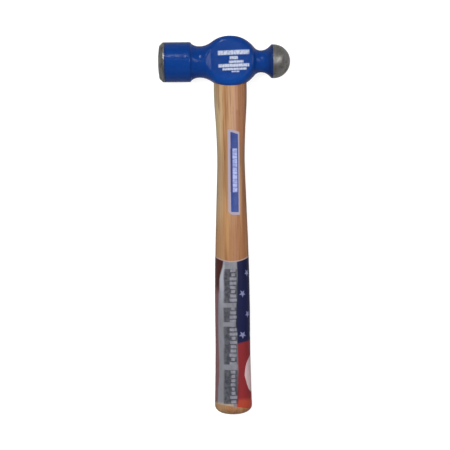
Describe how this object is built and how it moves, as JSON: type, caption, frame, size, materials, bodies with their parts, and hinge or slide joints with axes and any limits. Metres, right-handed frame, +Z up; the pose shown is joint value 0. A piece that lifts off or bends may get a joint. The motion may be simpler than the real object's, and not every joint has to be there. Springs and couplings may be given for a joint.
{
  "type": "ball peen hammer",
  "caption": "Hand hammer with a round crowned striking face and a ball peen on a flat-cheeked forged head, wedged onto an oval hardwood handle with a label and a printed grip film.",
  "frame": {"origin": "centre of the footprint, on the surface that the hammer lies on, with its flat cheeks level", "axes": "+X along the head from the striking face to the ball peen, +Y along the handle from the butt to the head, +Z up out of the cheek on the label's side"},
  "size_m": [0.1349, 0.387, 0.041],
  "materials": {
    "head_enamel": "gloss",
    "hickory": "satin",
    "wedge_wood": "matte",
    "bare_steel": "satin",
    "label_film": "satin",
    "printed_film": "satin"
  },
  "bodies": {
    "root": {"hammer_head": "head_enamel", "handle": "hickory", "wooden_wedge": "wedge_wood", "steel_wedge_face_side": "bare_steel", "steel_wedge_peen_side": "bare_steel", "handle_label": "label_film", "grip_film": "printed_film"}
  },
  "joints": []
}
